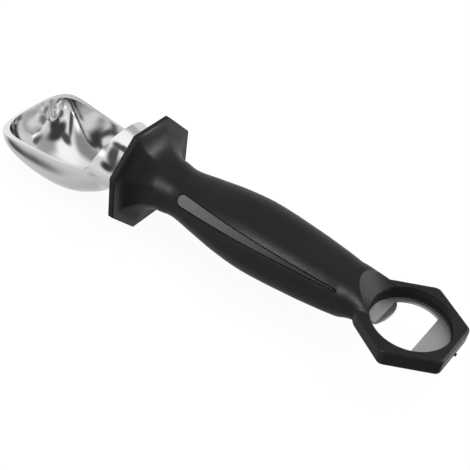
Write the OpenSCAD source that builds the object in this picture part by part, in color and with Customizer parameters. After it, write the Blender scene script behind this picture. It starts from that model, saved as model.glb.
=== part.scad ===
// Fixed-bowl ice cream scoop with a bottle opener in the end of its handle.
// Millimetres. The origin is the centre of the hole in the handle's ring,
// +X runs from the bowl towards the ring's end and +Z is the open side of the bowl.
// The handle's own axis drops a little from the ring to the guard, and everything
// from the guard to the bowl is built on that axis.

/* [Ring] */
// Size of the hexagonal ring across its flats
ring_flats = 40; // [38:0.5:44]
// Thickness of the ring
ring_thick = 7.6; // [6:0.2:9]
// Diameter of the hole, which clears a crown cap
ring_hole_d = 33.6; // [32.6:0.2:34.4]
// Radius on the corners of the hexagon
ring_corner_r = 2.8; // [1:0.2:4]
// Bevel along the top and bottom edges of the ring
ring_bevel = 0.7; // [0.3:0.1:1]
// Radius of the thumb hollow where it leaves the top of the grip
hollow_r = 24.8; // [21.5:0.1:26]
// Diameter of the gate mark on the end face
gate_d = 1.4; // [1:0.2:2]
// How far the gate mark stands out
gate_out = 0.5; // [0.3:0.1:1]

/* [Grip] */
// Distance from the hole's centre to the front of the guard
handle_len = 133.8; // [125:0.2:145]
// How far the handle's axis drops from the hole to the guard
handle_drop = 3; // [1:0.5:5]
// Diameter of the grip where it swells
grip_d = 32; // [28:0.5:34]
// Diameter of the grip at its waist behind the guard
waist_d = 22.8; // [20:0.2:24]
// Diameter of the grip where it runs out into the ring
tail_d = 23.6; // [20:0.2:25]

/* [Guard] */
// Size of the octagonal guard across its flats
guard_flats = 49.5; // [44:0.5:52]
// Thickness of the guard at its edge
guard_thick = 3; // [2:0.1:4]
// Width of the flat border round the back of the guard
guard_border = 1.8; // [1:0.1:2.4]
// Bevel on the edges of the guard
guard_bevel = 0.5; // [0.2:0.1:0.8]
// Length of the flare from the guard into the waist
flare_len = 15; // [12:0.5:18]

/* [Inlay] */
// Height of the inlay's centre line, in degrees above the side of the grip
inlay_angle = 30; // [20:1:40]
// Width of the inlay's pocket at its round end
inlay_w = 6.2; // [5:0.2:8]
// Width of the pocket at its narrow end
inlay_tip_w = 1.2; // [0.8:0.2:2]
// Distance from the hole's centre to the narrow end
inlay_tip_at = 28.5; // [28.5:0.5:34]
// Distance from the hole's centre to the round end
inlay_end_at = 108.5; // [100:0.5:110]
// Depth of the pocket
pocket_depth = 1.4; // [1:0.1:2]
// Width of the groove left round the inlay
inlay_groove = 0.5; // [0.3:0.1:0.8]

/* [Bowl] */
// Length of the head in front of the guard
head_len = 71.7; // [68:0.2:76]
// Width of the bowl outside, at its front
bowl_w = 45; // [40:0.5:46]
// Depth of the bowl outside, below its rim
bowl_depth = 25.6; // [22:0.2:28]
// Height of the handle's axis above the rim
rim_drop = 3; // [2:0.5:4]
// Wall of the bowl at the sides of its rim
bowl_wall = 2.4; // [1.8:0.1:3]
// Thickness of the bowl's front edge
lip_thick = 0.8; // [0.6:0.1:1.5]
// Lean of the hood's edge back from upright, in degrees
hood_lean = 20; // [15:1:25]

/* [Neck] */
// Diameter of the neck at the hood
neck_d = 34; // [32:0.5:35]
// Diameter of the neck where it enters the guard
root_d = 28.4; // [26:0.2:30]
// How deep the neck is let into the guard
root_in = 4; // [3:0.5:5]
// Step down from the neck to the part of it that the guard hides
root_step = 0.6; // [0.4:0.1:1]
// Width of the tang in the handle
tang_w = 12; // [9:0.5:14]
// Thickness of the tang
tang_t = 7; // [5:0.5:8]
// Length of the tang past the neck
tang_len = 58; // [45:1:70]
// Diameter of the holes through the tang that lock it in the plastic
tang_hole_d = 5; // [3:0.5:6]

/* [Opener] */
// Diameter of the opener plate
plate_d = 35.7; // [35.2:0.1:36.2]
// Thickness of the opener plate
plate_thick = 1.2; // [1:0.1:1.6]
// Plastic under the plate
plate_cover = 0.8; // [0.6:0.1:0.9]
// How far the bead over the plate's rim stands into the hole
bead_in = 0.4; // [0.2:0.1:0.6]
// Diameter of the opening in the plate
plate_open_d = 29.2; // [27:0.2:30]
// Distance from the hole's centre to the straight edge that bears on the cap
fulcrum_at = 6.5; // [5:0.1:9]
// Width of the lifting tab at its root
tab_w = 17; // [14:0.2:18]
// Distance of the tab's middle from the ring's middle line, away from the inlay
tab_off = 1.4; // [0:0.2:2]
// How far the tab's end bows out between its corners
tab_bow = 3.6; // [2:0.2:6]
// Distance from the hole's centre to the tab's fold
tab_fold_at = 10.8; // [10:0.2:12]
// Length of the tab past its fold
lip_len = 3; // [2.5:0.1:4]
// Upward angle of the lip
lip_angle = 28; // [20:1:30]

/* [Fits] */
// Clearance round the pieces that the plastic is moulded on
mould_gap = 0.05; // [0.02:0.01:0.1]

/* [Hidden] */

chrome = [0.80, 0.81, 0.83];
black_plastic = [0.12, 0.12, 0.13];
soft_black = [0.22, 0.22, 0.23];
steel = [0.55, 0.56, 0.56];

$fn = 72;
eps = 0.02;
ring_r = ring_flats / 2 / cos(30);
axis_tilt = asin(handle_drop / handle_len);
guard_back = guard_thick - handle_len;
plate_z = plate_cover - ring_thick / 2;
plate_top = plate_z + plate_thick;
// Top of the bead, just under the middle of the ring
bead_below = 0.1;

// ---- curves ----

// Smooth curve through [place, value] stations, level at each end
function slope(t, i) =
    i == 0 || i == len(t) - 1 ? 0 : (t[i + 1][1] - t[i - 1][1]) / (t[i + 1][0] - t[i - 1][0]);
function hermite(u, a, b, ma, mb) =
    a * (2 * pow(u, 3) - 3 * u * u + 1) + ma * (pow(u, 3) - 2 * u * u + u)
    + b * (3 * u * u - 2 * pow(u, 3)) + mb * (pow(u, 3) - u * u);
function span(t, x, i = 0) = i >= len(t) - 2 || x <= t[i + 1][0] ? i : span(t, x, i + 1);
function through(t, x) =
    x <= t[0][0] ? t[0][1] : x >= t[len(t) - 1][0] ? t[len(t) - 1][1] :
    let (i = span(t, x), w = t[i + 1][0] - t[i][0])
    hermite((x - t[i][0]) / w, t[i][1], t[i + 1][1], slope(t, i) * w, slope(t, i + 1) * w);
// Quarter of a superellipse: 1 at t = 0, falling to 0 at t = 1
function quarter(t, n) = pow(max(0, 1 - pow(min(1, abs(t)), n)), 1 / n);
function sgn_pow(v, n) = sign(v) * pow(abs(v), n);

// Closed solid over a list of rings that have the same number of points
module skin(rings) {
    n = len(rings[0]);
    m = len(rings);
    sides = [for (i = [0 : m - 2], j = [0 : n - 1])
        [i * n + j, i * n + (j + 1) % n, (i + 1) * n + (j + 1) % n, (i + 1) * n + j]];
    first = [for (j = [n - 1 : -1 : 0]) j];
    last = [for (j = [0 : n - 1]) (m - 1) * n + j];
    polyhedron([for (r = rings, p = r) p], concat([first], sides, [last]), convexity = 6);
}

// ---- the handle's axis ----

// Puts what is drawn along X at z = 0 on the handle's axis
module on_axis() {
    rotate([0, -axis_tilt, 0]) children();
}

// Turns a shape about the handle's axis; its profile is drawn as [x, r]
module turned(profile) {
    rotate([0, 90, 0]) rotate_extrude() polygon([for (p = profile) [p[1], p[0]]]);
}

// ---- scoop head ----

head_front = -handle_len - head_len;
// Distance in front of the guard of the hood's top, its foot and the bowl's deepest point
hood_top_at = 12;
hood_foot_at = hood_top_at + (neck_d / 2) * tan(hood_lean);
deepest_at = 0.59 * head_len;
front_round = 11.5;
root_r = root_d / 2;
neck_r = neck_d / 2;
// How far the neck's own skin reaches into the guard
flush_in = 1;

// Half width, underside, top and level of the widest line, against the distance from the guard
width_stations = [[-flush_in, root_r], [3, root_r + 0.2], [8, neck_r - 1.1], [13, neck_r], [20, neck_r + 0.8],
    [32, bowl_w / 2 - 3], [48, bowl_w / 2 - 1.2], [62, bowl_w / 2]];
keel_stations = [[-flush_in, root_r], [6, root_r - 0.2], [11, root_r], [14.5, neck_r - 1.6],
    [18.5, neck_r + 2.4], [24, rim_drop + bowl_depth - 5.6], [31, rim_drop + bowl_depth - 2.2],
    [deepest_at, rim_drop + bowl_depth]];
top_stations = [[-flush_in, root_r], [3, root_r + 0.2], [8, neck_r - 0.8], [13, neck_r + 0.6],
    [20, neck_r + 1]];
line_stations = [[0, 0], [14, 0.9], [18, 0.7], [22, -0.8], [30, -2], [38, 0.4 - rim_drop]];

function half_width(s) = through(width_stations, s)
    * quarter((s - head_len + front_round) / front_round * (s > head_len - front_round ? 1 : 0), 3.2);
function line_z(s) = through(line_stations, s);
function keel(s) = s <= deepest_at ? through(keel_stations, s)
    : rim_drop + bowl_depth * quarter((s - deepest_at) / (head_len - deepest_at), 2.1);
function fullness(s) = 2 + 0.3 * min(1, max(0, (s - 14) / 20));
function head_ring(s) =
    let (a = half_width(s), z = line_z(s), down = keel(s) + z, up = through(top_stations, s) - z)
    [for (i = [0 : 47])
        let (t = i * 7.5, n = 2 / (sin(t) < 0 ? fullness(s) : 2))
        [-handle_len - s, a * sgn_pow(cos(t), n), z + (sin(t) < 0 ? down : up) * sgn_pow(sin(t), n)]];
// Places of the rings: even along the neck and bowl, closing up towards the front
head_places = concat([for (i = [0 : 24]) -flush_in + i * (head_len - 11 + flush_in) / 24],
    [for (i = [1 : 9]) head_len - 11 + 10.97 * sin(i * 10)]);

// Inside of the bowl, in level slices from its floor to the crown of the hood
cavity_mid = -handle_len - head_len + 28;
cavity_front = cavity_mid - head_front - lip_thick;
cavity_back = -handle_len - hood_top_at - cavity_mid;
floor_depth = bowl_depth - bowl_wall;
crown = neck_r + 0.6 - bowl_wall + rim_drop;
function slice(z) =
    let (below = z <= -rim_drop,
        s = below ? quarter((-rim_drop - z) / floor_depth, 2) : 1,
        w = (bowl_w / 2 - bowl_wall) * (below ? s : quarter((z + rim_drop) / crown, 2.2)),
        back = cavity_back * s + (below ? 0 : (z + rim_drop) * tan(hood_lean) * 0.75))
    [for (i = [0 : 47])
        let (t = -i * 7.5, c = cos(t), n = 2 / (c < 0 ? 2.4 + 2.6 * pow(s, 6) : 3.6),
            x = sgn_pow(c, n) * (c < 0 ? cavity_front * s : back))
        [cavity_mid + x, w * sgn_pow(sin(t), 2 / 2.6) * (0.96 - 0.0045 * x), z]];
slice_levels = concat([for (i = [1 : 12]) -rim_drop - floor_depth * cos(i * 7.2 - 7)],
    [for (i = [1 : 8]) -rim_drop + (crown - 0.05) * sin(i * 11.2)]);

// Side view of what is trimmed off above the rim and in front of the hood
function bend(t, a, b, c) = a * (1 - t) * (1 - t) + 2 * b * t * (1 - t) + c * t * t;
module above_rim() {
    foot = [-handle_len - hood_foot_at, 1.5];
    top = [-handle_len - hood_top_at + 3 * tan(hood_lean), neck_r + 3];
    level = [-handle_len - 40, -rim_drop];
    turn = [-handle_len - hood_foot_at - 2.6, -rim_drop + 0.2];
    rotate([90, 0, 0]) linear_extrude(bowl_w + 20, center = true)
        polygon(concat([[head_front - 10, -rim_drop]],
            [for (i = [0 : 10]) bend(i / 10, level, turn, foot)],
            [top, [top[0], neck_r + 20], [head_front - 10, neck_r + 20]]));
}

// Tang, drawn larger by grow for the pocket that holds it
module tang(grow) {
    difference() {
        translate([root_in - handle_len - 1, -tang_w / 2 - grow, -tang_t / 2 - grow])
            cube([tang_len + 1 + grow, tang_w + 2 * grow, tang_t + 2 * grow]);
        for (s = [0.45, 0.8])
            translate([root_in - handle_len + tang_len * s, 0, 0])
                cylinder(d = tang_hole_d - 2 * grow, h = tang_t + 4, center = true);
    }
}

// Root of the neck past its flush end, drawn larger by grow for its socket
module spigot(grow) {
    translate([-handle_len - 0.5, 0, 0]) rotate([0, 90, 0])
        cylinder(r = root_r - root_step + grow, h = root_in + 0.5 + grow);
}

module scoop_head() {
    color(chrome) on_axis() {
        difference() {
            skin([for (s = head_places) head_ring(s)]);
            skin([for (z = slice_levels) slice(z)]);
            above_rim();
        }
        spigot(0);
        tang(0);
    }
}

// ---- handle ----

// Radius of the grip against the distance from the hole's centre
grip_stations = [[tail_d, tail_d / 2], [36, 12.7 / 15.35 * grip_d / 2], [50, 14.1 / 15.35 * grip_d / 2],
    [72, grip_d / 2], [87, 14.4 / 15.35 * grip_d / 2], [100, waist_d / 2 + 1.7], [112, waist_d / 2],
    [120, waist_d / 2 + 0.9]];
grip_end = -27.6;
grip_start = guard_back + 10;
function grip_profile(inset) = concat([[grip_end, 0]],
    [for (i = [0 : 40])
        let (x = grip_end + (grip_start - grip_end) * i / 40)
        [x, through(grip_stations, -x) - inset]],
    [[grip_start, 0]]);

module grip(inset = 0) {
    turned(grip_profile(inset));
}

// Flare from the octagonal guard to the round waist
function octagon(angle, apothem) = apothem / cos((angle + 382.5) % 45 - 22.5);
module flare() {
    steps = 9;
    function ring(i) =
        let (t = 0.03 + 0.97 * i / steps, x = guard_back - 0.5 + (flare_len + 0.5) * (1 - cos(t * 90)),
            back = through(grip_stations, -(guard_back + flare_len)) - eps,
            r = back + (guard_flats / 2 - guard_border - back) * (1 - sin(t * 90)))
        [for (j = [0 : 63])
            let (a = j * 5.625, q = (1 - t) * octagon(a, r) + t * r)
            [x, q * cos(a), q * sin(a)]];
    skin([for (i = [0 : steps]) ring(steps - i)]);
}

module guard() {
    translate([-handle_len, 0, 0]) rotate([0, 90, 0]) rotate([0, 0, 22.5]) {
        translate([0, 0, guard_bevel])
            cylinder(d = guard_flats / cos(22.5), h = guard_thick - 2 * guard_bevel, $fn = 8);
        for (side = [0, 1])
            translate([0, 0, side * guard_thick]) mirror([0, 0, side])
                cylinder(d1 = (guard_flats - 2 * guard_bevel) / cos(22.5), d2 = guard_flats / cos(22.5),
                    h = guard_bevel, $fn = 8);
    }
}

// Hexagon with round corners, drawn smaller by inset
module hexagon(inset) {
    r = ring_corner_r - inset / 2;
    reach = (ring_flats / 2 - inset - r) / cos(30);
    polygon([for (i = [0 : 5], k = [-2 : 2])
        let (c = 30 + 60 * i, a = c + k * 15)
        [reach * cos(c) + r * cos(a), reach * sin(c) + r * sin(a)]]);
}

module ring_body() {
    low = ring_thick - 2 * ring_bevel;
    linear_extrude(low, center = true) hexagon(0);
    hull() {
        linear_extrude(ring_thick, center = true) hexagon(ring_bevel);
        linear_extrude(low, center = true) hexagon(0);
    }
}

// Grip running out into the ring, in upright sections: half width, top and underside
// against the distance from the hole's centre
tail_start = 28;
start_r = through(grip_stations, tail_start);
start_drop = tail_start * tan(axis_tilt);
tail_widths = [[10, tail_d / 2 + 1], [16, tail_d / 2 + 0.4], [22, tail_d / 2 - 0.1], [tail_start, start_r]];
tail_tops = [[10, 5.6], [14, 8.2], [18, 10], [23, tail_d / 2 - 0.6], [tail_start, start_r - start_drop]];
tail_unders = [[10, ring_thick / 2], [13, ring_thick / 2 + 0.2], [17, ring_thick / 2 + 2.4],
    [22, tail_d / 2 - 2.6], [tail_start, start_r + start_drop]];
function tail_ring(s) =
    [for (i = [0 : 47])
        let (t = i * 7.5, h = through(sin(t) < 0 ? tail_unders : tail_tops, s),
            n = sin(t) < 0 ? 1 : 2 / (2 + 0.02 * (tail_start - s)))
        [-s, through(tail_widths, s) * sgn_pow(cos(t), n), h * sgn_pow(sin(t), n)]];
module grip_tail() {
    skin([for (i = [0 : 10]) tail_ring(10.5 + i * (tail_start - 10.5) / 10)]);
}

// Teardrop outline of the inlay's pocket, drawn smaller by inset
module teardrop(inset) {
    big = inlay_w / 2 - inset;
    small = inlay_tip_w / 2 - min(inset, inlay_tip_w / 2 - 0.2);
    from = inlay_w / 2 - inlay_end_at;
    to = -inlay_tip_at - inlay_tip_w / 2 - inset;
    hull() {
        translate([from, 0]) circle(big);
        translate([to, 0]) circle(small, $fn = 24);
    }
}

// Teardrop carried into the grip's -Y flank, down to the floor of its pocket
module inlay_block(inset) {
    difference() {
        rotate([90 - inlay_angle, 0, 0]) linear_extrude(grip_d) teardrop(inset);
        grip(pocket_depth);
    }
}

module plate_seat(grow) {
    translate([0, 0, plate_z]) cylinder(d = plate_d + 2 * grow, h = plate_thick);
}

module handle() {
    color(black_plastic) difference() {
        union() {
            on_axis() {
                guard();
                flare();
                grip();
            }
            ring_body();
            grip_tail();
            translate([ring_flats / 2 - 0.5, 2, gate_d / 2 - ring_thick / 2])
                rotate([0, 90, 0]) cylinder(d = gate_d, h = gate_out + 0.5, $fn = 24);
        }
        translate([0, 0, -bead_below]) cylinder(d = ring_hole_d, h = 30);
        translate([0, 0, -20]) cylinder(d = ring_hole_d - 2 * bead_in, h = 40);
        translate([0, 0, ring_thick / 2])
            cylinder(r1 = ring_hole_d / 2, r2 = hollow_r, h = tail_d / 2 - ring_thick / 2 + eps);
        translate([0, 0, tail_d / 2]) cylinder(r = hollow_r, h = 10);
        plate_seat(mould_gap);
        on_axis() {
            tang(mould_gap);
            spigot(mould_gap);
            translate([-handle_len - 1, 0, 0]) rotate([0, 90, 0])
                cylinder(r = root_r + mould_gap, h = 1 + flush_in + mould_gap);
            inlay_block(0);
        }
    }
}

// ---- inlay ----

module grip_inlay() {
    color(soft_black) on_axis() intersection() {
        inlay_block(inlay_groove);
        grip();
    }
}

// ---- opener plate ----

// Place of the tab's bowed end
tab_end = lip_len * cos(lip_angle) - tab_fold_at;

// Tab in plan, with straight sides and a bowed end, drawn narrower by inset
module tab_plan(inset) {
    half = tab_w / 2 - inset;
    bow_r = (half * half + tab_bow * tab_bow) / (2 * tab_bow);
    translate([0, tab_off]) intersection() {
        translate([tab_end - plate_d, -half]) square([plate_d + 1, 2 * half]);
        translate([tab_end - bow_r, 0]) circle(bow_r);
    }
}

// End of the tab past its fold, bent up
module lip() {
    inside = 0.03;
    reach = lip_len + plate_thick;
    tip = [reach * cos(lip_angle) - tab_fold_at, plate_z + reach * sin(lip_angle)];
    top = [tip[0] - plate_thick * sin(lip_angle), tip[1] + plate_thick * cos(lip_angle)];
    intersection() {
        rotate([90, 0, 0]) linear_extrude(plate_d, center = true)
            polygon([[-tab_fold_at - 0.8, plate_z + 0.3], [-tab_fold_at - inside, plate_z + inside], tip, top,
                [-tab_fold_at - 0.35, plate_z + plate_thick - inside],
                [-tab_fold_at - 0.8, plate_z + plate_thick - 0.3]]);
        translate([0, 0, plate_z - 1]) linear_extrude(plate_thick + lip_len + 2) tab_plan(inside);
    }
}

module opener_plate() {
    color(steel) {
        difference() {
            plate_seat(0);
            translate([0, 0, plate_z - 1]) linear_extrude(plate_thick + 2) difference() {
                intersection() {
                    circle(d = plate_open_d);
                    translate([fulcrum_at - plate_d, -plate_d / 2]) square([plate_d, plate_d]);
                }
                intersection() {
                    tab_plan(0);
                    translate([-plate_d, -plate_d / 2]) square([plate_d - tab_fold_at, plate_d]);
                }
            }
        }
        lip();
    }
}

scoop_head();
handle();
opener_plate();
grip_inlay();
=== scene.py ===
"""Looks for a fixed-bowl ice cream scoop with a bottle opener in the end of its handle.

The frame is the CAD's own: the origin is the centre of the ring's hole, +X runs from the bowl
to the ring's end and +Z is the open side of the bowl. The settings and the stage are in metres.
Every other size, outline and profile is in millimetres and turns to metres where a mesh is made.
The head, the guard, the flare, the grip and the inlay are drawn along X and then tilted onto the
handle's axis.
"""

import math

import bmesh
import bpy
import numpy as np
from mathutils import Matrix, Vector


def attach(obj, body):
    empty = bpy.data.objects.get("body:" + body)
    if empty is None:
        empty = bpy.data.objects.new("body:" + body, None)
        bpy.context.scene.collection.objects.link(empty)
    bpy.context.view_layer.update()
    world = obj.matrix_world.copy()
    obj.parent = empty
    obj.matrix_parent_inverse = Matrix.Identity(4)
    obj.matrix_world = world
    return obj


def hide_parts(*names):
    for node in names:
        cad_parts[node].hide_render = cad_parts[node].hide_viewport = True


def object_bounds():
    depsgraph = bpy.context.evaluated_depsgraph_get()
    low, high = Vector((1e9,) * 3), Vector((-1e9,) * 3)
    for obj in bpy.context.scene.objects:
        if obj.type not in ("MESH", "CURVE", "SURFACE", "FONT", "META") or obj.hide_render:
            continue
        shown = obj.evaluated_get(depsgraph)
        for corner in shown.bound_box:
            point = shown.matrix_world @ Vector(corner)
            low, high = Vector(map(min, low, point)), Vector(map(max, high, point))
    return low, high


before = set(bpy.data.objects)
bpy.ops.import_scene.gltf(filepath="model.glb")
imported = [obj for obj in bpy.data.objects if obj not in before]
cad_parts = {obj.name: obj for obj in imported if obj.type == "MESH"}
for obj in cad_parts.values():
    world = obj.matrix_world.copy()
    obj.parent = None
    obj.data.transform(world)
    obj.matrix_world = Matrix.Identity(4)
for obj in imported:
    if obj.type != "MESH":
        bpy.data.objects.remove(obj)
CAD_BOX = [list(corner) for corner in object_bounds()]

bl_info = {
    "name": "Scoop with ring opener",
    "version": (1, 0, 0),
    "blender": (4, 5, 0),
    "location": "View3D > Sidebar > Scoop",
    "description": "Builds the dressed model of a fixed-bowl ice cream scoop",
    "category": "Object",
}

MM = 0.001
HANDLE_LEN = 133.8  # from the hole's centre to the guard's front face
HANDLE_DROP = 3.0  # how far the handle's axis falls over that length
TILT = math.asin(HANDLE_DROP / HANDLE_LEN)


# ---- settings a user would change ----


def linear(code):
    """sRGB hex to a linear colour with full alpha."""
    values = [int(code[i : i + 2], 16) / 255 for i in (1, 3, 5)]
    bent = [v / 12.92 if v <= 0.04045 else ((v + 0.055) / 1.055) ** 2.4 for v in values]
    return (*bent, 1.0)


class ScoopHeadSettings(bpy.types.PropertyGroup):
    """Sizes and finish of the cast head."""

    length: bpy.props.FloatProperty(
        name="Length",
        description="Length of the head in front of the guard",
        default=71.7 * MM,
        min=60 * MM,
        max=80 * MM,
        precision=4,
        unit="LENGTH",
    )
    width: bpy.props.FloatProperty(
        name="Bowl width",
        description="Width of the bowl at its front",
        default=45.0 * MM,
        min=38 * MM,
        max=48 * MM,
        precision=4,
        unit="LENGTH",
    )
    depth: bpy.props.FloatProperty(
        name="Bowl depth",
        description="Depth of the bowl below its rim",
        default=25.6 * MM,
        min=20 * MM,
        max=28 * MM,
        precision=4,
        unit="LENGTH",
    )
    wall: bpy.props.FloatProperty(
        name="Wall",
        description="Wall of the bowl at the sides of its rim",
        default=2.4 * MM,
        min=1.8 * MM,
        max=3 * MM,
        precision=4,
        unit="LENGTH",
    )
    polish: bpy.props.FloatProperty(
        name="Polish",
        description="Roughness of the chrome, where 0 is a mirror",
        default=0.08,
        min=0,
        max=0.5,
        subtype="FACTOR",
    )
    chrome: bpy.props.FloatVectorProperty(
        name="Chrome",
        description="Colour of the chrome seen straight on",
        default=linear("#e5e5e5"),
        size=4,
        min=0,
        max=1,
        subtype="COLOR",
    )


class ScoopHandleSettings(bpy.types.PropertyGroup):
    """Sizes and colours of the moulded handle and its inlay."""

    grip_d: bpy.props.FloatProperty(
        name="Grip diameter",
        description="Diameter of the grip where it swells",
        default=32.0 * MM,
        min=28 * MM,
        max=34 * MM,
        precision=4,
        unit="LENGTH",
    )
    waist_d: bpy.props.FloatProperty(
        name="Waist diameter",
        description="Diameter of the grip behind the guard",
        default=22.8 * MM,
        min=20 * MM,
        max=24 * MM,
        precision=4,
        unit="LENGTH",
    )
    voxel: bpy.props.FloatProperty(
        name="Grid",
        description="Grid on which the moulded shapes are blended",
        default=0.46 * MM,
        min=0.3 * MM,
        max=1 * MM,
        precision=5,
        unit="LENGTH",
    )
    blend: bpy.props.IntProperty(
        name="Blend",
        description="Rounds of smoothing over the joins of the moulding",
        default=7,
        min=0,
        max=20,
    )
    sheen: bpy.props.FloatProperty(
        name="Surface",
        description="Roughness of the moulded surface",
        default=0.38,
        min=0.1,
        max=0.8,
        subtype="FACTOR",
    )
    plastic_dark: bpy.props.FloatVectorProperty(
        name="Plastic, dark",
        description="Colour of the moulding where it is darkest",
        default=linear("#0f0f11"),
        size=4,
        min=0,
        max=1,
        subtype="COLOR",
    )
    plastic_pale: bpy.props.FloatVectorProperty(
        name="Plastic, pale",
        description="Colour of the moulding where it is palest",
        default=linear("#141416"),
        size=4,
        min=0,
        max=1,
        subtype="COLOR",
    )
    # the inlay's two colours are painted light: pale where light falls at the round end, dark toward
    # the tip
    inlay_dark: bpy.props.FloatVectorProperty(
        name="Inlay, tip",
        description="Colour of the inlay toward its tip",
        default=linear("#1c1c1e"),
        size=4,
        min=0,
        max=1,
        subtype="COLOR",
    )
    inlay_painted_light: bpy.props.FloatVectorProperty(
        name="Inlay, round end",
        description="Colour of the inlay at its round end",
        default=linear("#464648"),
        size=4,
        min=0,
        max=1,
        subtype="COLOR",
    )


class ScoopOpenerSettings(bpy.types.PropertyGroup):
    """Finish of the opener plate."""

    roughness: bpy.props.FloatProperty(
        name="Roughness",
        description="Roughness of the stamped plate",
        default=0.48,
        min=0,
        max=1,
        subtype="FACTOR",
    )
    steel_dark: bpy.props.FloatVectorProperty(
        name="Steel, dark",
        description="Colour of the steel where it is darkest",
        default=linear("#b3b3b2"),
        size=4,
        min=0,
        max=1,
        subtype="COLOR",
    )
    steel_pale: bpy.props.FloatVectorProperty(
        name="Steel, pale",
        description="Colour of the steel where it is palest",
        default=linear("#c2c2c0"),
        size=4,
        min=0,
        max=1,
        subtype="COLOR",
    )


# ---- small helpers ----

AROUND = 160  # points round the head, its hollow and what is turned
SAME_PLACE = 1e-7  # two points closer than this, in metres, are one


def node(tree, kind, inputs=None, **settings):
    """Adds one node, with its settings and what its inputs are set or linked to."""
    made = tree.nodes.new(kind)
    for key, value in settings.items():
        setattr(made, key, value)
    for key, value in (inputs or {}).items():
        socket = made.inputs[key]
        if isinstance(value, bpy.types.NodeSocket):
            tree.links.new(value, socket)
        else:
            socket.default_value = value
    return made


def new_material(name):
    """A material with an empty node tree, and the tree."""
    material = bpy.data.materials.new(name)
    material.use_nodes = True
    material.node_tree.nodes.clear()
    return material, material.node_tree


def curve_through(stations, x):
    """Smooth curve through [place, value] stations, level at each end."""
    place, value = np.array(stations, float).T
    slope = np.zeros(len(place))
    slope[1:-1] = (value[2:] - value[:-2]) / (place[2:] - place[:-2])
    x = np.clip(np.asarray(x, float), place[0], place[-1])
    i = np.clip(np.searchsorted(place, x) - 1, 0, len(place) - 2)
    step = place[i + 1] - place[i]
    u = (x - place[i]) / step
    return (
        value[i] * (2 * u**3 - 3 * u**2 + 1)
        + slope[i] * step * (u**3 - 2 * u**2 + u)
        + value[i + 1] * (3 * u**2 - 2 * u**3)
        + slope[i + 1] * step * (u**3 - u**2)
    )


def quarter(t, n):
    """Quarter of a superellipse: 1 at t = 0, falling to 0 at t = 1."""
    return np.maximum(0, 1 - np.minimum(1, np.abs(t)) ** n) ** (1 / n)


def signed(v, n):
    """A power that keeps the sign, which squares off a circle where n is under 1."""
    return np.sign(v) * np.abs(v) ** n


def around(sides):
    """Angles of the points once round."""
    return np.arange(sides) * 2 * math.pi / sides


def link(name, mesh):
    """A new object in the scene."""
    made = bpy.data.objects.new(name, mesh)
    bpy.context.scene.collection.objects.link(made)
    return made


def skin(name, rings):
    """Closed mesh over rings of points in mm, with normals outward."""
    rings = np.asarray(rings, float)
    count, sides = rings.shape[:2]
    verts = [tuple(p) for p in rings.reshape(-1, 3) * MM]
    last = (count - 1) * sides
    faces = []
    for ring in range(0, last, sides):
        for j in range(sides):
            k = (j + 1) % sides
            faces.append((ring + j, ring + k, ring + sides + k, ring + sides + j))
    faces.append(tuple(range(sides - 1, -1, -1)))
    faces.append(tuple(range(last, last + sides)))
    mesh = bpy.data.meshes.new(name)
    mesh.from_pydata(verts, [], faces)
    made = link(name, mesh)
    outward(made)
    return made


def outward(obj):
    """Merges doubles and turns every face outward."""
    bm = bmesh.new()
    bm.from_mesh(obj.data)
    bmesh.ops.remove_doubles(bm, verts=bm.verts, dist=SAME_PLACE)
    bmesh.ops.recalc_face_normals(bm, faces=bm.faces)
    bm.to_mesh(obj.data)
    bm.free()


def prism(name, outline, low, high, axis="Z"):
    """Closed prism over an outline in mm, which lies across Z or across Y."""
    order = {"Z": [0, 1, 2], "Y": [0, 2, 1]}[axis]
    rings = np.array([[(a, b, height) for a, b in outline] for height in (low, high)])
    return skin(name, rings[:, :, order])


def turned(name, profile, sides=AROUND, axis="X"):
    """Solid turned about X or Z, from a profile of [place, radius] between its flat ends."""
    angle = around(sides)
    rings = []
    for place, radius in profile:
        a = radius * np.cos(angle)
        b = radius * np.sin(angle)
        along = np.full(sides, place)
        rings.append(np.stack([along, a, b] if axis == "X" else [a, b, along], 1))
    return skin(name, rings)


def tilt(obj):
    """Puts a mesh that is drawn along X on the handle's axis."""
    obj.data.transform(Matrix.Rotation(-TILT, 4, "Y"))
    return obj


def cut(obj, tool, how="DIFFERENCE"):
    """Applies one boolean to obj and removes the tool."""
    mod = obj.modifiers.new("cut", "BOOLEAN")
    mod.operation = how
    mod.solver = "EXACT"
    mod.object = tool
    bake(obj)
    bpy.data.objects.remove(tool)
    return obj


def bake(obj):
    """Applies all modifiers of obj."""
    evaluated = obj.evaluated_get(bpy.context.evaluated_depsgraph_get())
    mesh = bpy.data.meshes.new_from_object(evaluated)
    obj.modifiers.clear()
    old = obj.data
    obj.data = mesh
    bpy.data.meshes.remove(old)


def finish_mesh(obj, material, sharp):
    """The piece's material, and smooth shading with sharp edges past an angle in degrees."""
    mesh = obj.data
    mesh.materials.clear()
    mesh.materials.append(material)
    mesh.polygons.foreach_set("material_index", [0] * len(mesh.polygons))
    mesh.polygons.foreach_set("use_smooth", [True] * len(mesh.polygons))
    mesh.set_sharp_from_angle(angle=math.radians(sharp))
    mesh.update()


# ---- finishes ----


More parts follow.
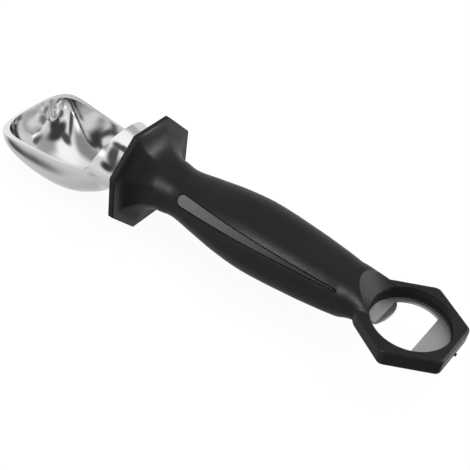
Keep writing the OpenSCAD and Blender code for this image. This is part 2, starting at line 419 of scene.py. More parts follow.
def chrome_plate(colour, roughness):
    """Bright chrome plate over a polished casting: a mirror, dulled here and there by wiping."""
    patch = 10 / 3  # width of a wiped patch in mm
    dulled = 0.04
    material, tree = new_material("Polished_chrome_plate")
    place = node(tree, "ShaderNodeTexCoord").outputs["Object"]
    patches = {"Vector": place, "Scale": 1 / (patch * MM), "Detail": 3.0}
    wear = node(tree, "ShaderNodeTexNoise", patches)
    wiped = {"Value": wear.outputs["Fac"], "From Min": 0.35, "From Max": 0.75}
    levels = {"To Min": roughness, "To Max": roughness + dulled}
    rough = node(tree, "ShaderNodeMapRange", {**wiped, **levels})
    metal = {"Base Color": colour, "Metallic": 1.0, "Roughness": rough.outputs["Result"]}
    shader = node(tree, "ShaderNodeBsdfPrincipled", metal)
    node(tree, "ShaderNodeOutputMaterial", {"Surface": shader.outputs["BSDF"]})
    return material


def moulded_plastic(name, dark, pale, roughness, grain, depth, painted_light_run=None):
    """Injection-moulded polymer: a satin sheen and the fine grain of the eroded tool.

    The grain's width and depth are in mm. The colour varies in clouds, or runs from dark to pale
    between two places along X in mm, which is painted light.
    """
    cloud = 50 / 3  # width of a cloud in mm
    material, tree = new_material(name)
    place = node(tree, "ShaderNodeTexCoord").outputs["Object"]
    # the real grain is finer: this is the finest that still shows
    grains = {"Vector": place, "Scale": 1 / (grain * MM), "Detail": 2.0}
    spots = node(tree, "ShaderNodeTexNoise", grains)
    broad = {"Vector": place, "Scale": 1 / (cloud * MM), "Detail": 3.0}
    clouds = node(tree, "ShaderNodeTexNoise", broad)
    share = clouds.outputs["Fac"]
    # painted light: the colour runs from dark to pale along X instead of by the clouds
    if painted_light_run:
        along = node(tree, "ShaderNodeSeparateXYZ", {"Vector": place}).outputs["X"]
        stretch = {"Value": along, "From Min": painted_light_run[0] * MM, "From Max": painted_light_run[1] * MM}
        share = node(tree, "ShaderNodeMapRange", stretch).outputs["Result"]
    colour = node(tree, "ShaderNodeMix", {"Factor": share, "A": dark, "B": pale}, data_type="RGBA")
    patchy = {"Value": clouds.outputs["Fac"], "From Min": 0.3, "From Max": 0.7}
    levels = {"To Min": roughness - 0.03, "To Max": roughness + 0.04}
    rough = node(tree, "ShaderNodeMapRange", {**patchy, **levels})
    relief = {"Height": spots.outputs["Fac"], "Strength": 0.25, "Distance": depth * MM}
    bump = node(tree, "ShaderNodeBump", relief)
    polymer = {
        "Base Color": colour.outputs["Result"],
        "Roughness": rough.outputs["Result"],
        "Normal": bump.outputs["Normal"],
        # the grain shades itself, so less light comes back than from the bare polymer
        "Specular IOR Level": 0.11,
        "IOR": 1.49,
    }
    shader = node(tree, "ShaderNodeBsdfPrincipled", polymer)
    node(tree, "ShaderNodeOutputMaterial", {"Surface": shader.outputs["BSDF"]})
    return material


def tumbled_steel(dark, pale, roughness):
    """Stamped sheet steel, tumbled: an even matt grey with fine scratches in no direction."""
    # the real scratches are finer: these, at 2.2 to the millimetre, are the finest that still show
    scratch = 1 / 2.2
    patch = 6.25  # width of a paler patch in mm
    depth = 0.05  # of the scratches, in mm
    material, tree = new_material("Tumbled_sheet_steel")
    place = node(tree, "ShaderNodeTexCoord").outputs["Object"]
    scratches = {"Vector": place, "Scale": 1 / (scratch * MM), "Detail": 3.0}
    fine = node(tree, "ShaderNodeTexNoise", scratches)
    patches = {"Vector": place, "Scale": 1 / (patch * MM), "Detail": 2.0}
    broad = node(tree, "ShaderNodeTexNoise", patches)
    greys = {"Factor": broad.outputs["Fac"], "A": dark, "B": pale}
    colour = node(tree, "ShaderNodeMix", greys, data_type="RGBA")
    scratched = {"Value": fine.outputs["Fac"], "From Min": 0.3, "From Max": 0.7}
    levels = {"To Min": roughness - 0.06, "To Max": roughness + 0.06}
    rough = node(tree, "ShaderNodeMapRange", {**scratched, **levels})
    relief = {"Height": fine.outputs["Fac"], "Strength": 0.15, "Distance": depth * MM}
    bump = node(tree, "ShaderNodeBump", relief)
    steel = {
        "Base Color": colour.outputs["Result"],
        "Metallic": 1.0,
        "Roughness": rough.outputs["Result"],
        "Normal": bump.outputs["Normal"],
    }
    shader = node(tree, "ShaderNodeBsdfPrincipled", steel)
    node(tree, "ShaderNodeOutputMaterial", {"Surface": shader.outputs["BSDF"]})
    return material


# ---- scoop head: places along it are counted forward from the guard's front face ----

ROOT_R = 14.2  # where it leaves the guard
ROOT_SINK = 1.0  # how far it starts inside the guard
NECK_R = 17.0
NECK_RISE = 0.6  # how much higher than round the neck is under the hood
RIM_DROP = 3.0  # from the head's axis down to the bowl's rim
RIM_BEND = 40.0  # where the rim starts to bend up into the hood
HOOD_TOP = 12.0  # where the hood's front edge meets the top of the neck
HOOD_LEAN = math.tan(math.radians(20))
HOOD_FOOT = HOOD_TOP + NECK_R * HOOD_LEAN  # and where it would meet the head's axis
NECK_LEN = 14.0  # up to here the outer rings are round
SQUARE_LEN = 20.0  # and over this length they grow a little squarer below
KEEL_AT = 0.59  # share of the length at which the bowl is deepest
KEEL_POWER = 2.1  # how full the keel runs up to the lip, where 2 is an ellipse
FRONT_LEN = 11.5  # stretch over which the sides round into the lip
FRONT_POWER = 3.2
LIP_LEN = 11.0  # stretch at the lip that has closer rings
LIP_BLUNT = 0.04  # how far short of the lip's tip the last ring lies
LIP_WALL = 0.8
TRIM_REACH = 40.0  # to either side of the middle line
HOLLOW_MIDDLE = 28.0  # from the lip back to the line between the hollow's two halves


def head_rings(length, width, depth):
    """Rings of the head's outer skin from the guard to the front lip."""
    full = RIM_DROP + depth
    deepest = KEEL_AT * length
    # [place, value] of the rings' half widths, of their keels' depths and of their tops' heights
    widths = [
        [-ROOT_SINK, ROOT_R],
        [3, ROOT_R + 0.2],
        [8, NECK_R - 1.1],
        [13, NECK_R],
        [20, NECK_R + 0.8],
        [32, width / 2 - 3],
        [48, width / 2 - 1.2],
        [62, width / 2],
    ]
    keels = [
        [-ROOT_SINK, ROOT_R],
        [6, ROOT_R - 0.2],
        [11, ROOT_R],
        [14.5, NECK_R - 1.6],
        [18.5, NECK_R + 2.4],
        [24, full - 5.6],
        [31, full - 2.2],
        [deepest, full],
    ]
    tops = [
        [-ROOT_SINK, ROOT_R],
        [3, ROOT_R + 0.2],
        [8, NECK_R - 0.8],
        [13, NECK_R + NECK_RISE],
        [20, NECK_R + 1],
    ]
    # height of the line where the upper and the lower half of each ring meet
    lines = [[0, 0], [14, 0.9], [18, 0.7], [22, -0.8], [30, -2], [38, 0.4 - RIM_DROP]]
    body = np.linspace(-ROOT_SINK, length - LIP_LEN, 120)
    turn = np.linspace(0.04, 1, 50) * math.pi / 2
    lip = length - LIP_LEN + (LIP_LEN - LIP_BLUNT) * np.sin(turn)
    angle = around(AROUND)
    under = np.sin(angle) < 0
    rings = []
    for place in np.concatenate([body, lip]):
        front = max(0, (place - length + FRONT_LEN) / FRONT_LEN)
        half = curve_through(widths, place) * quarter(front, FRONT_POWER)
        line = float(curve_through(lines, place))
        keel = curve_through(keels, place)
        if place > deepest:
            keel = RIM_DROP + depth * quarter((place - deepest) / (length - deepest), KEEL_POWER)
        height = np.where(under, keel + line, curve_through(tops, place) - line)
        bowl = min(1, max(0, (place - NECK_LEN) / SQUARE_LEN))
        power = np.where(under, 2 / (2 + 0.3 * bowl), 1.0)
        y = half * signed(np.cos(angle), power)
        z = line + height * signed(np.sin(angle), power)
        rings.append(np.stack([np.full_like(y, -HANDLE_LEN - place), y, z], 1))
    return rings


def hollow_rings(length, width, depth, wall):
    """Level slices of the bowl's inside, from its floor to the crown of the hood."""
    middle = -HANDLE_LEN - length + HOLLOW_MIDDLE
    front = HOLLOW_MIDDLE - LIP_WALL
    back = -HANDLE_LEN - HOOD_TOP - middle
    floor = depth - wall
    crown = NECK_R + NECK_RISE - wall + RIM_DROP
    # the slices lie closer together toward the floor and toward the crown
    below = -RIM_DROP - floor * np.cos(np.linspace(0.02, 1.54, 70))
    above = -RIM_DROP + (crown - 0.05) * np.sin(np.linspace(0.04, 1.565, 50))
    angle = around(AROUND)
    ahead = np.cos(angle) < 0
    rings = []
    for z in np.concatenate([below, above]):
        if z <= -RIM_DROP:
            share = quarter((-RIM_DROP - z) / floor, 2.0)
            half = (width / 2 - wall) * share
            reach = back * share
        else:
            share = 1.0
            half = (width / 2 - wall) * quarter((z + RIM_DROP) / crown, 2.2)
            # the hood's inside leans a little less than its outside
            reach = back + (z + RIM_DROP) * HOOD_LEAN * 0.75
        # nearly square in front at the rim, rounder toward the floor and at the back
        power = np.where(ahead, 2 / (2.4 + 2.6 * share**6), 2 / 3.6)
        x = signed(np.cos(angle), power) * np.where(ahead, front * share, reach)
        narrowing = 0.96 - 0.0045 * x
        y = half * signed(np.sin(angle), 2 / 2.6) * narrowing
        rings.append(np.stack([middle + x, y, np.full_like(x, z)], 1))
    return rings


def above_rim(length):
    """Side view of what is trimmed off above the rim and in front of the hood."""
    clear = 20.0  # it reaches so far over the neck's radius, and half as far past the lip
    front = -HANDLE_LEN - length - clear / 2
    rim = np.array([-HANDLE_LEN - RIM_BEND, -RIM_DROP])
    foot = np.array([-HANDLE_LEN - HOOD_FOOT, 1.5])
    corner = np.array([foot[0] - 2.6, 0.2 - RIM_DROP])
    bend = []
    for t in np.linspace(0, 1, 40):
        bend.append(rim * (1 - t) ** 2 + 2 * corner * t * (1 - t) + foot * t * t)
    over = 3.0  # the hood's leaning edge runs on so far past the neck's radius
    top = -HANDLE_LEN - HOOD_TOP + over * HOOD_LEAN
    hood = [(top, NECK_R + over), (top, NECK_R + clear), (front, NECK_R + clear)]
    return [(front, -RIM_DROP), *bend, *hood]


class SCOOP_OT_head(bpy.types.Operator):
    """Makes the cast and chromed head: neck, hood and bowl in one piece."""

    bl_idname = "scoop.head"
    bl_label = "Scoop head"

    def execute(self, context):
        settings = context.scene.scoop_head
        length = settings.length / MM
        width = settings.width / MM
        depth = settings.depth / MM
        wall = settings.wall / MM
        head = skin("chromed_head", head_rings(length, width, depth))
        cut(head, skin("inside", hollow_rings(length, width, depth, wall)))
        cut(head, prism("trim", above_rim(length), -TRIM_REACH, TRIM_REACH, axis="Y"))
        tilt(head)
        finish_mesh(head, chrome_plate(settings.chrome, settings.polish), sharp=30)
        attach(head, "root")
        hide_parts("scoop_head")
        return {"FINISHED"}


# ---- handle ----

GUARD_FLATS = 49.5
GUARD_THICK = 3.0
GUARD_BORDER = 1.8  # flat left between the flare's foot and the guard's edge
GUARD_BEVEL = 0.5
GUARD_SHY = 0.15  # how much smaller the guard is where it is blended
FLARE_LEN = 15.0
GRIP_FRONT = HANDLE_LEN - GUARD_THICK - 10  # the grip's solid runs from here, inside the flare,
GRIP_BACK = 27.6  # to here, both counted from the hole's centre
GRIP_RINGS = 240
TAIL_D = 23.6
TAIL_START = 28.0  # the tail runs from here, inside the grip,
TAIL_STOP = 10.5  # to here, over the hole
RING_FLATS = 40.0
RING_THICK = 7.6
RING_BEVEL = 0.7
RING_CORNER = 2.8
TAIL_CORNER = 6.5  # the ring's two corners that run into the tail
HOLE_R = 16.8
BEAD = 0.4  # how far the bead that holds the plate stands in from the hole's wall
BEAD_TOP = -0.1  # height of the bead's upper edge
HOLLOW_R = 24.8  # of the hollow that widens above the hole, at the height of the tail's top
PLATE_LOW = 0.8  # from the ring's underside to the plate's
PLATE_THICK = 1.2
SEAT_R = 17.9
SEAT_PLAY = 0.05  # over and under the plate
GATE_R = 0.7
GATE_LEN = 0.5  # how far the gate mark stands out of the ring's end
GATE_EDGE = 0.15
GATE_SIDE = 2.0  # how far the gate mark lies beside the middle line
INLAY_FAR = 108.5  # from the hole's centre to the round end
INLAY_NEAR = 28.5  # and to the tip
INLAY_R = 3.1
INLAY_TIP_R = 0.6
INLAY_ANGLE = 30.0  # how far it lies above the handle's side, in degrees
POCKET_DEPTH = 1.4
GROOVE = 0.5  # all round the inlay


def grip_stations(grip_d, waist_d):
    """Radius of the grip against the distance from the hole's centre."""
    drawn_r = 15.35  # the swell for which the radii beside it are given
    k = grip_d / 2 / drawn_r
    return [
        [TAIL_D, TAIL_D / 2],
        [36, 12.7 * k],
        [50, 14.1 * k],
        [72, grip_d / 2],
        [87, 14.4 * k],
        [100, waist_d / 2 + 1.7],
        [112, waist_d / 2],
        [120, waist_d / 2 + 0.9],
    ]


def grip_profile(stations, inset=0.0):
    """Profile of the grip from inside the flare to the tail, drawn smaller by inset."""
    x = np.linspace(-GRIP_FRONT, -GRIP_BACK, GRIP_RINGS)
    return list(zip(x, curve_through(stations, -x) - inset))


def turned_grip_tree(stations):
    """Geometry Nodes tree of the grip: a circle carried along its axis and scaled on the way."""
    tree = bpy.data.node_groups.new("turned_grip", "GeometryNodeTree")
    tree.interface.new_socket("Geometry", in_out="OUTPUT", socket_type="NodeSocketGeometry")
    wanted = {
        "Start": "Float",
        "End": "Float",
        "Thickest radius": "Float",
        "Rings": "Int",
        "Sides": "Int",
        "Material": "Material",
    }
    for name, kind in wanted.items():
        tree.interface.new_socket(name, in_out="INPUT", socket_type="NodeSocket" + kind)
    given = node(tree, "NodeGroupInput").outputs
    first = node(tree, "ShaderNodeCombineXYZ", {"X": given["Start"]})
    last = node(tree, "ShaderNodeCombineXYZ", {"X": given["End"]})
    ends = {"Start": first.outputs[0], "End": last.outputs[0]}
    line = node(tree, "GeometryNodeCurvePrimitiveLine", ends)
    steps = {"Curve": line.outputs[0], "Count": given["Rings"]}
    axis = node(tree, "GeometryNodeResampleCurve", steps)
    along = node(tree, "GeometryNodeSplineParameter")
    shape = node(tree, "ShaderNodeFloatCurve", {"Value": along.outputs["Factor"]})
    thickest = max(r for _, r in stations)
    bend = shape.mapping.curves[0]
    for share in np.linspace(0, 1, 40)[1:-1]:
        bend.points.new(share, 0)
    for point in bend.points:
        place = GRIP_BACK + point.location[0] * (GRIP_FRONT - GRIP_BACK)
        point.location[1] = float(curve_through(stations, place)) / thickest
    shape.mapping.update()
    both = {0: shape.outputs[0], 1: given["Thickest radius"]}
    radius = node(tree, "ShaderNodeMath", both, operation="MULTIPLY")
    unit = {"Resolution": given["Sides"], "Radius": 1.0}
    circle = node(tree, "GeometryNodeCurvePrimitiveCircle", unit)
    sweep = {
        "Curve": axis.outputs[0],
        "Profile Curve": circle.outputs[0],
        "Scale": radius.outputs[0],
        "Fill Caps": True,
    }
    body = node(tree, "GeometryNodeCurveToMesh", sweep)
    real = node(tree, "GeometryNodeRealizeInstances", {"Geometry": body.outputs[0]})
    dress = {"Geometry": real.outputs[0], "Material": given["Material"]}
    dressed = node(tree, "GeometryNodeSetMaterial", dress)
    node(tree, "NodeGroupOutput", {"Geometry": dressed.outputs[0]})
    return tree


def turned_grip(stations, material):
    """Solid of the grip, from the tail to inside the flare."""
    grip = link("grip", bpy.data.meshes.new("grip"))
    tree = turned_grip_tree(stations)
    mod = grip.modifiers.new("turn", "NODES")
    mod.node_group = tree
    sizes = {
        "Start": -GRIP_BACK * MM,
        "End": -GRIP_FRONT * MM,
        "Thickest radius": max(r for _, r in stations) * MM,
        "Rings": GRIP_RINGS,
        "Sides": AROUND,
        "Material": material,
    }
    for socket in tree.interface.items_tree:
        if socket.name in sizes:
            mod[socket.identifier] = sizes[socket.name]
    bake(grip)
    outward(grip)
    return grip


def octagon_reach(angle, apothem):
    """Radius of an octagon with flats on the axes."""
    step = math.pi / 4
    return apothem / np.cos((angle + step / 2) % step - step / 2)


def guard_rings(inset=0.0):
    """Octagonal disc with bevelled edges, drawn smaller all round by inset."""
    angle = around(8) + math.pi / 8
    wide = GUARD_FLATS / 2 - inset
    narrow = wide - GUARD_BEVEL
    low = inset - HANDLE_LEN
    high = GUARD_THICK - inset - HANDLE_LEN
    steps = ((low, narrow), (low + GUARD_BEVEL, wide), (high - GUARD_BEVEL, wide), (high, narrow))
    rings = []
    for x, half in steps:
        r = half / math.cos(math.pi / 8)
        rings.append([(x, r * math.cos(a), r * math.sin(a)) for a in angle])
    return rings


def flare_rings(stations):
    """Flare from the octagonal guard to the round waist, with a short skirt inside the guard."""
    skirt = 0.5
    sunk = 0.02  # keeps the flare's thin end under the grip's skin
    start = GUARD_THICK - HANDLE_LEN
    waist = float(curve_through(stations, -(start + FLARE_LEN))) - sunk
    foot = GUARD_FLATS / 2 - GUARD_BORDER
    angle = around(192)
    path = [(start - skirt, 0.0)]
    for share in np.linspace(0, 1, 40):
        path.append((start + FLARE_LEN * (1 - math.cos(share * math.pi / 2)), share))
    rings = []
    for x, share in path:
        r = waist + (foot - waist) * (1 - math.sin(share * math.pi / 2))
        reach = (1 - share) * octagon_reach(angle, r) + share * r
        across = reach * np.cos(angle)
        up = reach * np.sin(angle)
        rings.append(np.stack([np.full_like(reach, x), across, up], 1))
    return rings


def tail_rings(stations):
    """The grip running out into the ring, flatter on top and deeper below."""
    r0 = float(curve_through(stations, TAIL_START))
    tail_r = TAIL_D / 2
    drop = TAIL_START * math.tan(TILT)
    widths = [[10, tail_r + 1], [16, tail_r + 0.4], [22, tail_r - 0.1], [TAIL_START, r0]]
    tops = [[10, 5.6], [14, 8.2], [18, 10], [23, tail_r - 0.6], [TAIL_START, r0 - drop]]
    unders = [
        [10, RING_THICK / 2],
        [13, RING_THICK / 2 + 0.2],
        [17, RING_THICK / 2 + 2.4],
        [22, tail_r - 2.6],
        [TAIL_START, r0 + drop],
    ]
    angle = around(144)
    under = np.sin(angle) < 0
    rings = []
    for place in np.linspace(TAIL_STOP, TAIL_START, 50):
        height = np.where(under, curve_through(unders, place), curve_through(tops, place))
        # a little squarer on top the nearer it comes to the hole
        power = np.where(under, 1.0, 2 / (2 + 0.02 * (TAIL_START - place)))
        y = curve_through(widths, place) * signed(np.cos(angle), power)
        z = height * signed(np.sin(angle), power)
        rings.append(np.stack([np.full_like(angle, -place), y, z], 1))
    return rings


def hexagon(inset):
    """Ring outline with round corners, rounder where they run into the tail, smaller by inset."""
    points = []
    for corner in np.radians(np.arange(30, 360, 60)):
        at_tail = math.cos(corner) < -0.5
        r = (TAIL_CORNER if at_tail else RING_CORNER) - inset / 2
        reach = (RING_FLATS / 2 - inset - r) / math.cos(math.pi / 6)
        for a in np.radians(np.linspace(-30, 30, 9)) + corner:
            x = reach * math.cos(corner) + r * math.cos(a)
            y = reach * math.sin(corner) + r * math.sin(a)
            points.append((x, y))
    return points


def ring_rings():
    """Hexagonal ring blank with bevelled edges."""
    half = RING_THICK / 2
    side = half - RING_BEVEL
    steps = ((-half, RING_BEVEL), (-side, 0), (side, 0), (half, RING_BEVEL))
    return [[(x, y, z) for x, y in hexagon(inset)] for z, inset in steps]


def teardrop(inset):
    """Outline of the inlay's pocket, drawn smaller by inset."""
    big = INLAY_R - inset
    small = INLAY_TIP_R - min(inset, 0.4)  # the tip always keeps some radius
    start = INLAY_R - INLAY_FAR
    end = -INLAY_NEAR - INLAY_TIP_R - inset
    lean = math.asin((big - small) / (end - start))
    side = math.pi / 2 - lean
    round_end = np.linspace(side, 2 * math.pi - side, 40)
    tip = np.linspace(-side, side, 12)
    left = [(start + big * math.cos(a), big * math.sin(a)) for a in round_end]
    right = [(end + small * math.cos(a), small * math.sin(a)) for a in tip]
    return left + right


def inlay_block(stations, inset, floor):
    """Teardrop carried into the grip's flank, from the pocket's floor up."""
    deep = 4.0  # from the grip's axis
    clear = 20.0
    block = prism("block", teardrop(inset), deep, clear)
    block.data.transform(Matrix.Rotation(math.radians(90 - INLAY_ANGLE), 4, "X"))
    return cut(block, turned("core", grip_profile(stations, floor)))


def hole_cutter():
    """Solid of the hole, its bead over the plate and the hollow that runs up into the tail."""
    under = -20.0
    over = 30.0
    profile = [
        (under, HOLE_R - BEAD),
        (BEAD_TOP, HOLE_R - BEAD),
        (BEAD_TOP, HOLE_R),
        (RING_THICK / 2, HOLE_R),
        (TAIL_D / 2, HOLLOW_R),
        (over, HOLLOW_R),
    ]
    return turned("hole", profile, axis="Z")


def plate_seat():
    """Solid of the groove that holds the opener plate."""
    low = PLATE_LOW - RING_THICK / 2
    profile = [(low - SEAT_PLAY, SEAT_R), (low + PLATE_THICK + SEAT_PLAY, SEAT_R)]
    return turned("seat", profile, axis="Z")


def gate_mark():
    """Stub left by the mould's gate on the ring's end face."""
    face = RING_FLATS / 2
    tip = face + GATE_LEN
    profile = [(face - GATE_LEN, GATE_R), (tip - GATE_EDGE, GATE_R), (tip, GATE_R - GATE_EDGE)]
    stub = turned("gate", profile, sides=24)
    place = Vector((0, GATE_SIDE, GATE_R - RING_THICK / 2)) * MM
    stub.data.transform(Matrix.Translation(place))
    return stub


class SCOOP_OT_handle(bpy.types.Operator):
    """Makes the moulded handle: guard, flare, grip and ring in one piece."""

    bl_idname = "scoop.handle"
    bl_label = "Handle"

    def execute(self, context):
        settings = context.scene.scoop_handle
        stations = grip_stations(settings.grip_d / MM, settings.waist_d / MM)
        plastic = moulded_plastic(
            "Satin_black_polypropylene",
            settings.plastic_dark,
            settings.plastic_pale,
            settings.sheen,
            grain=0.5,
            depth=0.04,
        )
        handle = tilt(turned_grip(stations, plastic))
        # the guard is blended a little smaller, so that only its fillet shows past the crisp one
        blanks = [
            handle,
            tilt(skin("flare", flare_rings(stations))),
            tilt(skin("guard", guard_rings(GUARD_SHY))),
            skin("tail", tail_rings(stations)),
            skin("ring", ring_rings()),
        ]
        with context.temp_override(active_object=handle, selected_editable_objects=blanks):
            bpy.ops.object.join()
        handle.name = "moulded_handle"
        blend = handle.modifiers.new("blend", "REMESH")
        blend.mode = "VOXEL"
        blend.voxel_size = settings.voxel
        blend.adaptivity = 0.0
        soft = handle.modifiers.new("soft", "SMOOTH")
        soft.factor = 0.5
        soft.iterations = settings.blend
        bake(handle)
        cut(handle, tilt(skin("guard", guard_rings())), "UNION")
        cut(handle, gate_mark(), "UNION")
        cut(handle, hole_cutter())
        cut(handle, plate_seat())
        cut(handle, tilt(inlay_block(stations, 0.0, POCKET_DEPTH)))
        finish_mesh(handle, plastic, sharp=38)
        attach(handle, "root")
        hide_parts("handle")
        bpy.data.collections[MOULDED].objects.link(handle)
        return {"FINISHED"}


class SCOOP_OT_inlay(bpy.types.Operator):
    """Makes the inlay in the grip's flank."""

    bl_idname = "scoop.inlay"
    bl_label = "Grip inlay"

    def execute(self, context):
        settings = context.scene.scoop_handle
        stations = grip_stations(settings.grip_d / MM, settings.waist_d / MM)
        inlay = inlay_block(stations, GROOVE, POCKET_DEPTH)
        cut(inlay, turned("grip", grip_profile(stations)), "INTERSECT")
        tilt(inlay)
        inlay.name = "soft_inlay"
        # painted light: paler toward its round end, where light falls, and darker toward the tip
        rubber = moulded_plastic(
            "Matt_black_elastomer",
            settings.inlay_dark,
            settings.inlay_painted_light,
            roughness=0.6,
            grain=0.9,
            depth=0.08,
            painted_light_run=(-50, -106),
        )
        finish_mesh(inlay, rubber, sharp=40)
        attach(inlay, "root")
        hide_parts("grip_inlay")
        bpy.data.collections[MOULDED].objects.link(inlay)
        return {"FINISHED"}


class SCOOP_OT_opener(bpy.types.Operator):
    """Gives the opener plate its finish."""

    bl_idname = "scoop.opener"
    bl_label = "Opener plate"

    def execute(self, context):
        settings = context.scene.scoop_opener
        material = tumbled_steel(settings.steel_dark, settings.steel_pale, settings.roughness)
        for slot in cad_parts["opener_plate"].material_slots:
            slot.material = material
        return {"FINISHED"}


# ---- stage ----

MOULDED = "moulded_pieces"  # collection of what the two glint lamps light
CAMERA_AT = (0.07292, -0.27029, 0.27641)
CAMERA_AIM = (-0.07933, -0.00788, 0)  # on the grip, at the height of the ring's hole
CAMERA_ROLL = 10.18  # degrees about its own axis
SENSOR = 36.0  # the sensor's width in Blender's own millimetres
FOCAL = 1000 / 470  # focal length over the sensor's width
NEAREST = 0.01  # nothing closer to the camera than this is drawn
MATT_LIGHT = 0.55  # what matt surfaces get from all round
FLOOR_REACH = 30.0  # half the floor's width, in metres
FLOOR_GLOW = 0.93  # share of the floor's look that is plain white, without shade
LAMP_AIM = (-0.11, 0, 0)  # near the middle of the scoop

# what shiny surfaces see, as (height of the direction, level), from straight down to straight up
SKY = (
    (-1, 0.5),
    (-0.9, 0.6),
    (-0.7, 0.7),
    (-0.4, 0.85),
    (-0.1, 0.8),
    (0.5, 0.85),
    (0.8, 0.9),
    (0.87, 1.05),
    (1, 1.15),
)

# soft oval cards in front of it, each painted over those before it: level, then the bearing
# from +X, the rise, the half width and the half height in degrees, then softness
CARDS = (
    (0.50, 112, 44, 26, 16, 0.6),
    (0.30, -128, 38, 20, 17, 0.5),
    (0.40, 45, 48, 20, 18, 0.6),
    (0.12, -33, 22, 13, 11, 0.4),
    (0.05, -6, 38, 18, 22, 0.4),
    (0.10, 46, 30, 8, 5, 0.5),
    (1.00, -62, 38, 9, 12, 0.4),
    (0.05, -14, 55, 34, 13, 0.35),
    (0.08, -66, 66, 16, 9, 0.4),
    (0.08, -86, 25, 7, 38, 0.4),
    (0.05, -94, -6, 8, 13, 0.5),
    (0.09, -140, -47, 9, 8, 0.7),
    (1.50, 168, 36, 20, 10, 0.4),
    (1.30, -106, 22, 7, 10, 0.6),
    (4.20, 42, 8, 24, 12, 0.5),
    (0.10, -15, -38, 42, 24, 0.5),
    (1.80, 48, -34, 20, 16, 0.5),
    (1.02, 142, 36, 5, 7, 0.5),
)

# name, place and width in metres, and watts
LAMPS = (
    ("key", (0.25, -0.1, 0.9), 0.7, 7.0),
    ("fill", (-0.8, -0.5, 0.5), 0.7, 2.5),
    ("back", (-0.2, 0.9, 0.5), 0.8, 4.0),
    ("flare_glint", (0.47, 0.46, 0.48), 0.3, 9.0),
    ("waist_glint", (-0.31, -0.78, 0.41), 0.3, 9.0),
)


def studio_card(tree, direction, behind, card):
    """Paints one oval card over the light that is behind it."""
    level, bearing, rise, half_wide, half_high, soft = card
    a = math.radians(bearing)
    e = math.radians(rise)
    middle = Vector((math.cos(e) * math.cos(a), math.cos(e) * math.sin(a), math.sin(e)))
    across = Vector((-math.sin(a), math.cos(a), 0)) / math.tan(math.radians(half_wide))
    upward = middle.cross(across).normalized() / math.tan(math.radians(half_high))
    parts = []
    for axis in (across, upward, middle):
        dot = node(tree, "ShaderNodeVectorMath", {0: direction, 1: axis}, operation="DOT_PRODUCT")
        parts.append(dot.outputs["Value"])
    flat = node(tree, "ShaderNodeCombineXYZ", {"X": parts[0], "Y": parts[1]})
    reach = node(tree, "ShaderNodeVectorMath", {0: flat.outputs[0]}, operation="LENGTH")
    # a direction that points away from the card is kept far outside it
    ahead = node(tree, "ShaderNodeMath", {0: parts[2], 1: 0.001}, operation="MAXIMUM")
    apart = {0: reach.outputs["Value"], 1: ahead.outputs[0]}
    off = node(tree, "ShaderNodeMath", apart, operation="DIVIDE")
    edge = {"Value": off.outputs[0], "From Min": 1 - soft, "From Max": 1 + soft}
    inside_out = {"To Min": 1.0, "To Max": 0.0}
    cover = node(tree, "ShaderNodeMapRange", {**edge, **inside_out}, interpolation_type="SMOOTHSTEP")
    paint = {"Factor": cover.outputs["Result"], "A": behind, "B": (level, level, level, 1)}
    mixed = node(tree, "ShaderNodeMix", paint, data_type="RGBA", clamp_factor=True)
    return mixed.outputs["Result"]


def studio_world(scene):
    """White to the camera, even to matt surfaces, and a studio of soft cards to what shines."""
    world = bpy.data.worlds.new("studio")
    scene.world = world
    world.use_nodes = True
    tree = world.node_tree
    tree.nodes.clear()
    direction = node(tree, "ShaderNodeTexCoord").outputs["Generated"]
    height = node(tree, "ShaderNodeSeparateXYZ", {"Vector": direction}).outputs["Z"]
    up = node(tree, "ShaderNodeMapRange", {"Value": height, "From Min": -1.0, "From Max": 1.0})
    ramp = node(tree, "ShaderNodeValToRGB", {"Fac": up.outputs["Result"]})
    stops = ramp.color_ramp.elements
    while len(stops) < len(SKY):
        stops.new(0.5)
    for stop, (z, level) in zip(stops, SKY):
        stop.position = (z + 1) / 2
        stop.color = (level, level, level, 1)
    light = ramp.outputs["Color"]
    for card in CARDS:
        light = studio_card(tree, direction, light, card)
    plain = (1, 1, 1, 1)
    white = node(tree, "ShaderNodeBackground", {"Color": plain, "Strength": 1.0})
    even = node(tree, "ShaderNodeBackground", {"Color": plain, "Strength": MATT_LIGHT})
    shine = node(tree, "ShaderNodeBackground", {"Color": light, "Strength": 1.0})
    ray = node(tree, "ShaderNodeLightPath").outputs
    surfaces = {0: ray["Is Glossy Ray"], 1: even.outputs[0], 2: shine.outputs[0]}
    lit = node(tree, "ShaderNodeMixShader", surfaces)
    views = {0: ray["Is Camera Ray"], 1: lit.outputs[0], 2: white.outputs[0]}
    seen = node(tree, "ShaderNodeMixShader", views)
    node(tree, "ShaderNodeOutputWorld", {"Surface": seen.outputs[0]})


def pale_floor():
    """Floor under the lowest point, with a faint shade and no part in reflections."""
    low = min(CAD_BOX[0][2], CAD_BOX[1][2])
    around_it = ((-1, -1), (1, -1), (1, 1), (-1, 1))
    corners = [(x * FLOOR_REACH, y * FLOOR_REACH, low) for x, y in around_it]
    mesh = bpy.data.meshes.new("floor")
    mesh.from_pydata(corners, [], [(0, 1, 2, 3)])
    floor = link("floor", mesh)
    floor.visible_glossy = False
    material, tree = new_material("Pale_floor")
    ray = node(tree, "ShaderNodeLightPath").outputs
    matt = node(tree, "ShaderNodeBsdfDiffuse", {"Color": linear("#f4f4f4")})
    glow = node(tree, "ShaderNodeEmission", {"Color": (1, 1, 1, 1), "Strength": 1.0})
    share = {0: ray["Is Camera Ray"], 1: FLOOR_GLOW}
    near = node(tree, "ShaderNodeMath", share, operation="MULTIPLY")
    both = {0: near.outputs[0], 1: matt.outputs[0], 2: glow.outputs[0]}
    mix = node(tree, "ShaderNodeMixShader", both)
    node(tree, "ShaderNodeOutputMaterial", {"Surface": mix.outputs[0]})
    mesh.materials.append(material)


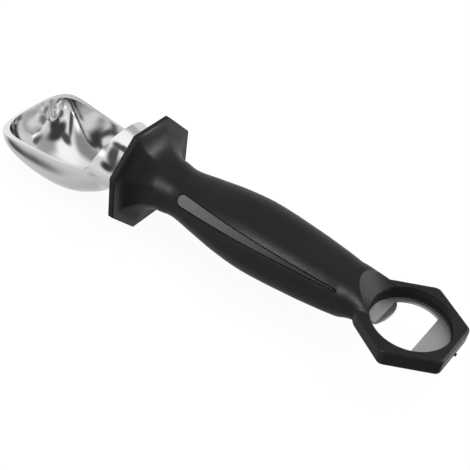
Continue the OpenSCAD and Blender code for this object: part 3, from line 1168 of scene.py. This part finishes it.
def studio_lamps(scene):
    """Soft lamps over the whole object, and two small ones that only the moulded pieces catch."""
    moulded = bpy.data.collections.new(MOULDED)
    scene.collection.children.link(moulded)
    for name, at, size, power in LAMPS:
        lamp = link(name, bpy.data.lights.new(name, "AREA"))
        lamp.data.shape = "DISK"
        lamp.data.size = size
        lamp.data.energy = power
        lamp.location = at
        aim = Vector(LAMP_AIM) - Vector(at)
        lamp.rotation_euler = aim.to_track_quat("-Z", "Y").to_euler()
        lamp.visible_camera = False
        lamp.visible_glossy = name.endswith("glint")
        if lamp.visible_glossy:
            lamp.light_linking.receiver_collection = moulded


def main_camera(scene):
    """Camera over the ring end, looking along the handle to the bowl."""
    camera = link("camera", bpy.data.cameras.new("camera"))
    camera.data.sensor_width = SENSOR
    camera.data.lens = SENSOR * FOCAL
    camera.data.clip_start = NEAREST
    look = Vector(CAMERA_AIM) - Vector(CAMERA_AT)
    level = look.to_track_quat("-Z", "Y").to_matrix().to_4x4()
    roll = Matrix.Rotation(math.radians(CAMERA_ROLL), 4, "Z")
    camera.matrix_world = Matrix.Translation(CAMERA_AT) @ level @ roll
    scene.camera = camera


class SCOOP_OT_stage(bpy.types.Operator):
    """Sets up the floor, the lights and the camera."""

    bl_idname = "scoop.stage"
    bl_label = "Stage"

    def execute(self, context):
        scene = context.scene
        scene.view_settings.view_transform = "Standard"
        studio_world(scene)
        pale_floor()
        studio_lamps(scene)
        main_camera(scene)
        return {"FINISHED"}


class SCOOP_PT_panel(bpy.types.Panel):
    """Lists the scoop's settings and pieces."""

    bl_idname = "SCOOP_PT_panel"
    bl_label = "Scoop"
    bl_space_type = "VIEW_3D"
    bl_region_type = "UI"
    bl_category = "Scoop"

    def draw(self, context):
        scene = context.scene
        for group in (scene.scoop_head, scene.scoop_handle, scene.scoop_opener):
            box = self.layout.box()
            for name in group.__annotations__:
                box.prop(group, name)
        for kind in PIECES:
            self.layout.operator(kind.bl_idname)


GROUPS = (ScoopHeadSettings, ScoopHandleSettings, ScoopOpenerSettings)
PIECES = (SCOOP_OT_stage, SCOOP_OT_head, SCOOP_OT_handle, SCOOP_OT_inlay, SCOOP_OT_opener)


def register():
    for kind in GROUPS + PIECES + (SCOOP_PT_panel,):
        bpy.utils.register_class(kind)
    bpy.types.Scene.scoop_head = bpy.props.PointerProperty(type=ScoopHeadSettings)
    bpy.types.Scene.scoop_handle = bpy.props.PointerProperty(type=ScoopHandleSettings)
    bpy.types.Scene.scoop_opener = bpy.props.PointerProperty(type=ScoopOpenerSettings)


def unregister():
    del bpy.types.Scene.scoop_head
    del bpy.types.Scene.scoop_handle
    del bpy.types.Scene.scoop_opener
    for kind in reversed(GROUPS + PIECES + (SCOOP_PT_panel,)):
        bpy.utils.unregister_class(kind)


def main():
    register()
    bpy.ops.scoop.stage()
    bpy.ops.scoop.head()
    bpy.ops.scoop.handle()
    bpy.ops.scoop.inlay()
    bpy.ops.scoop.opener()


if __name__ == "__main__":
    main()
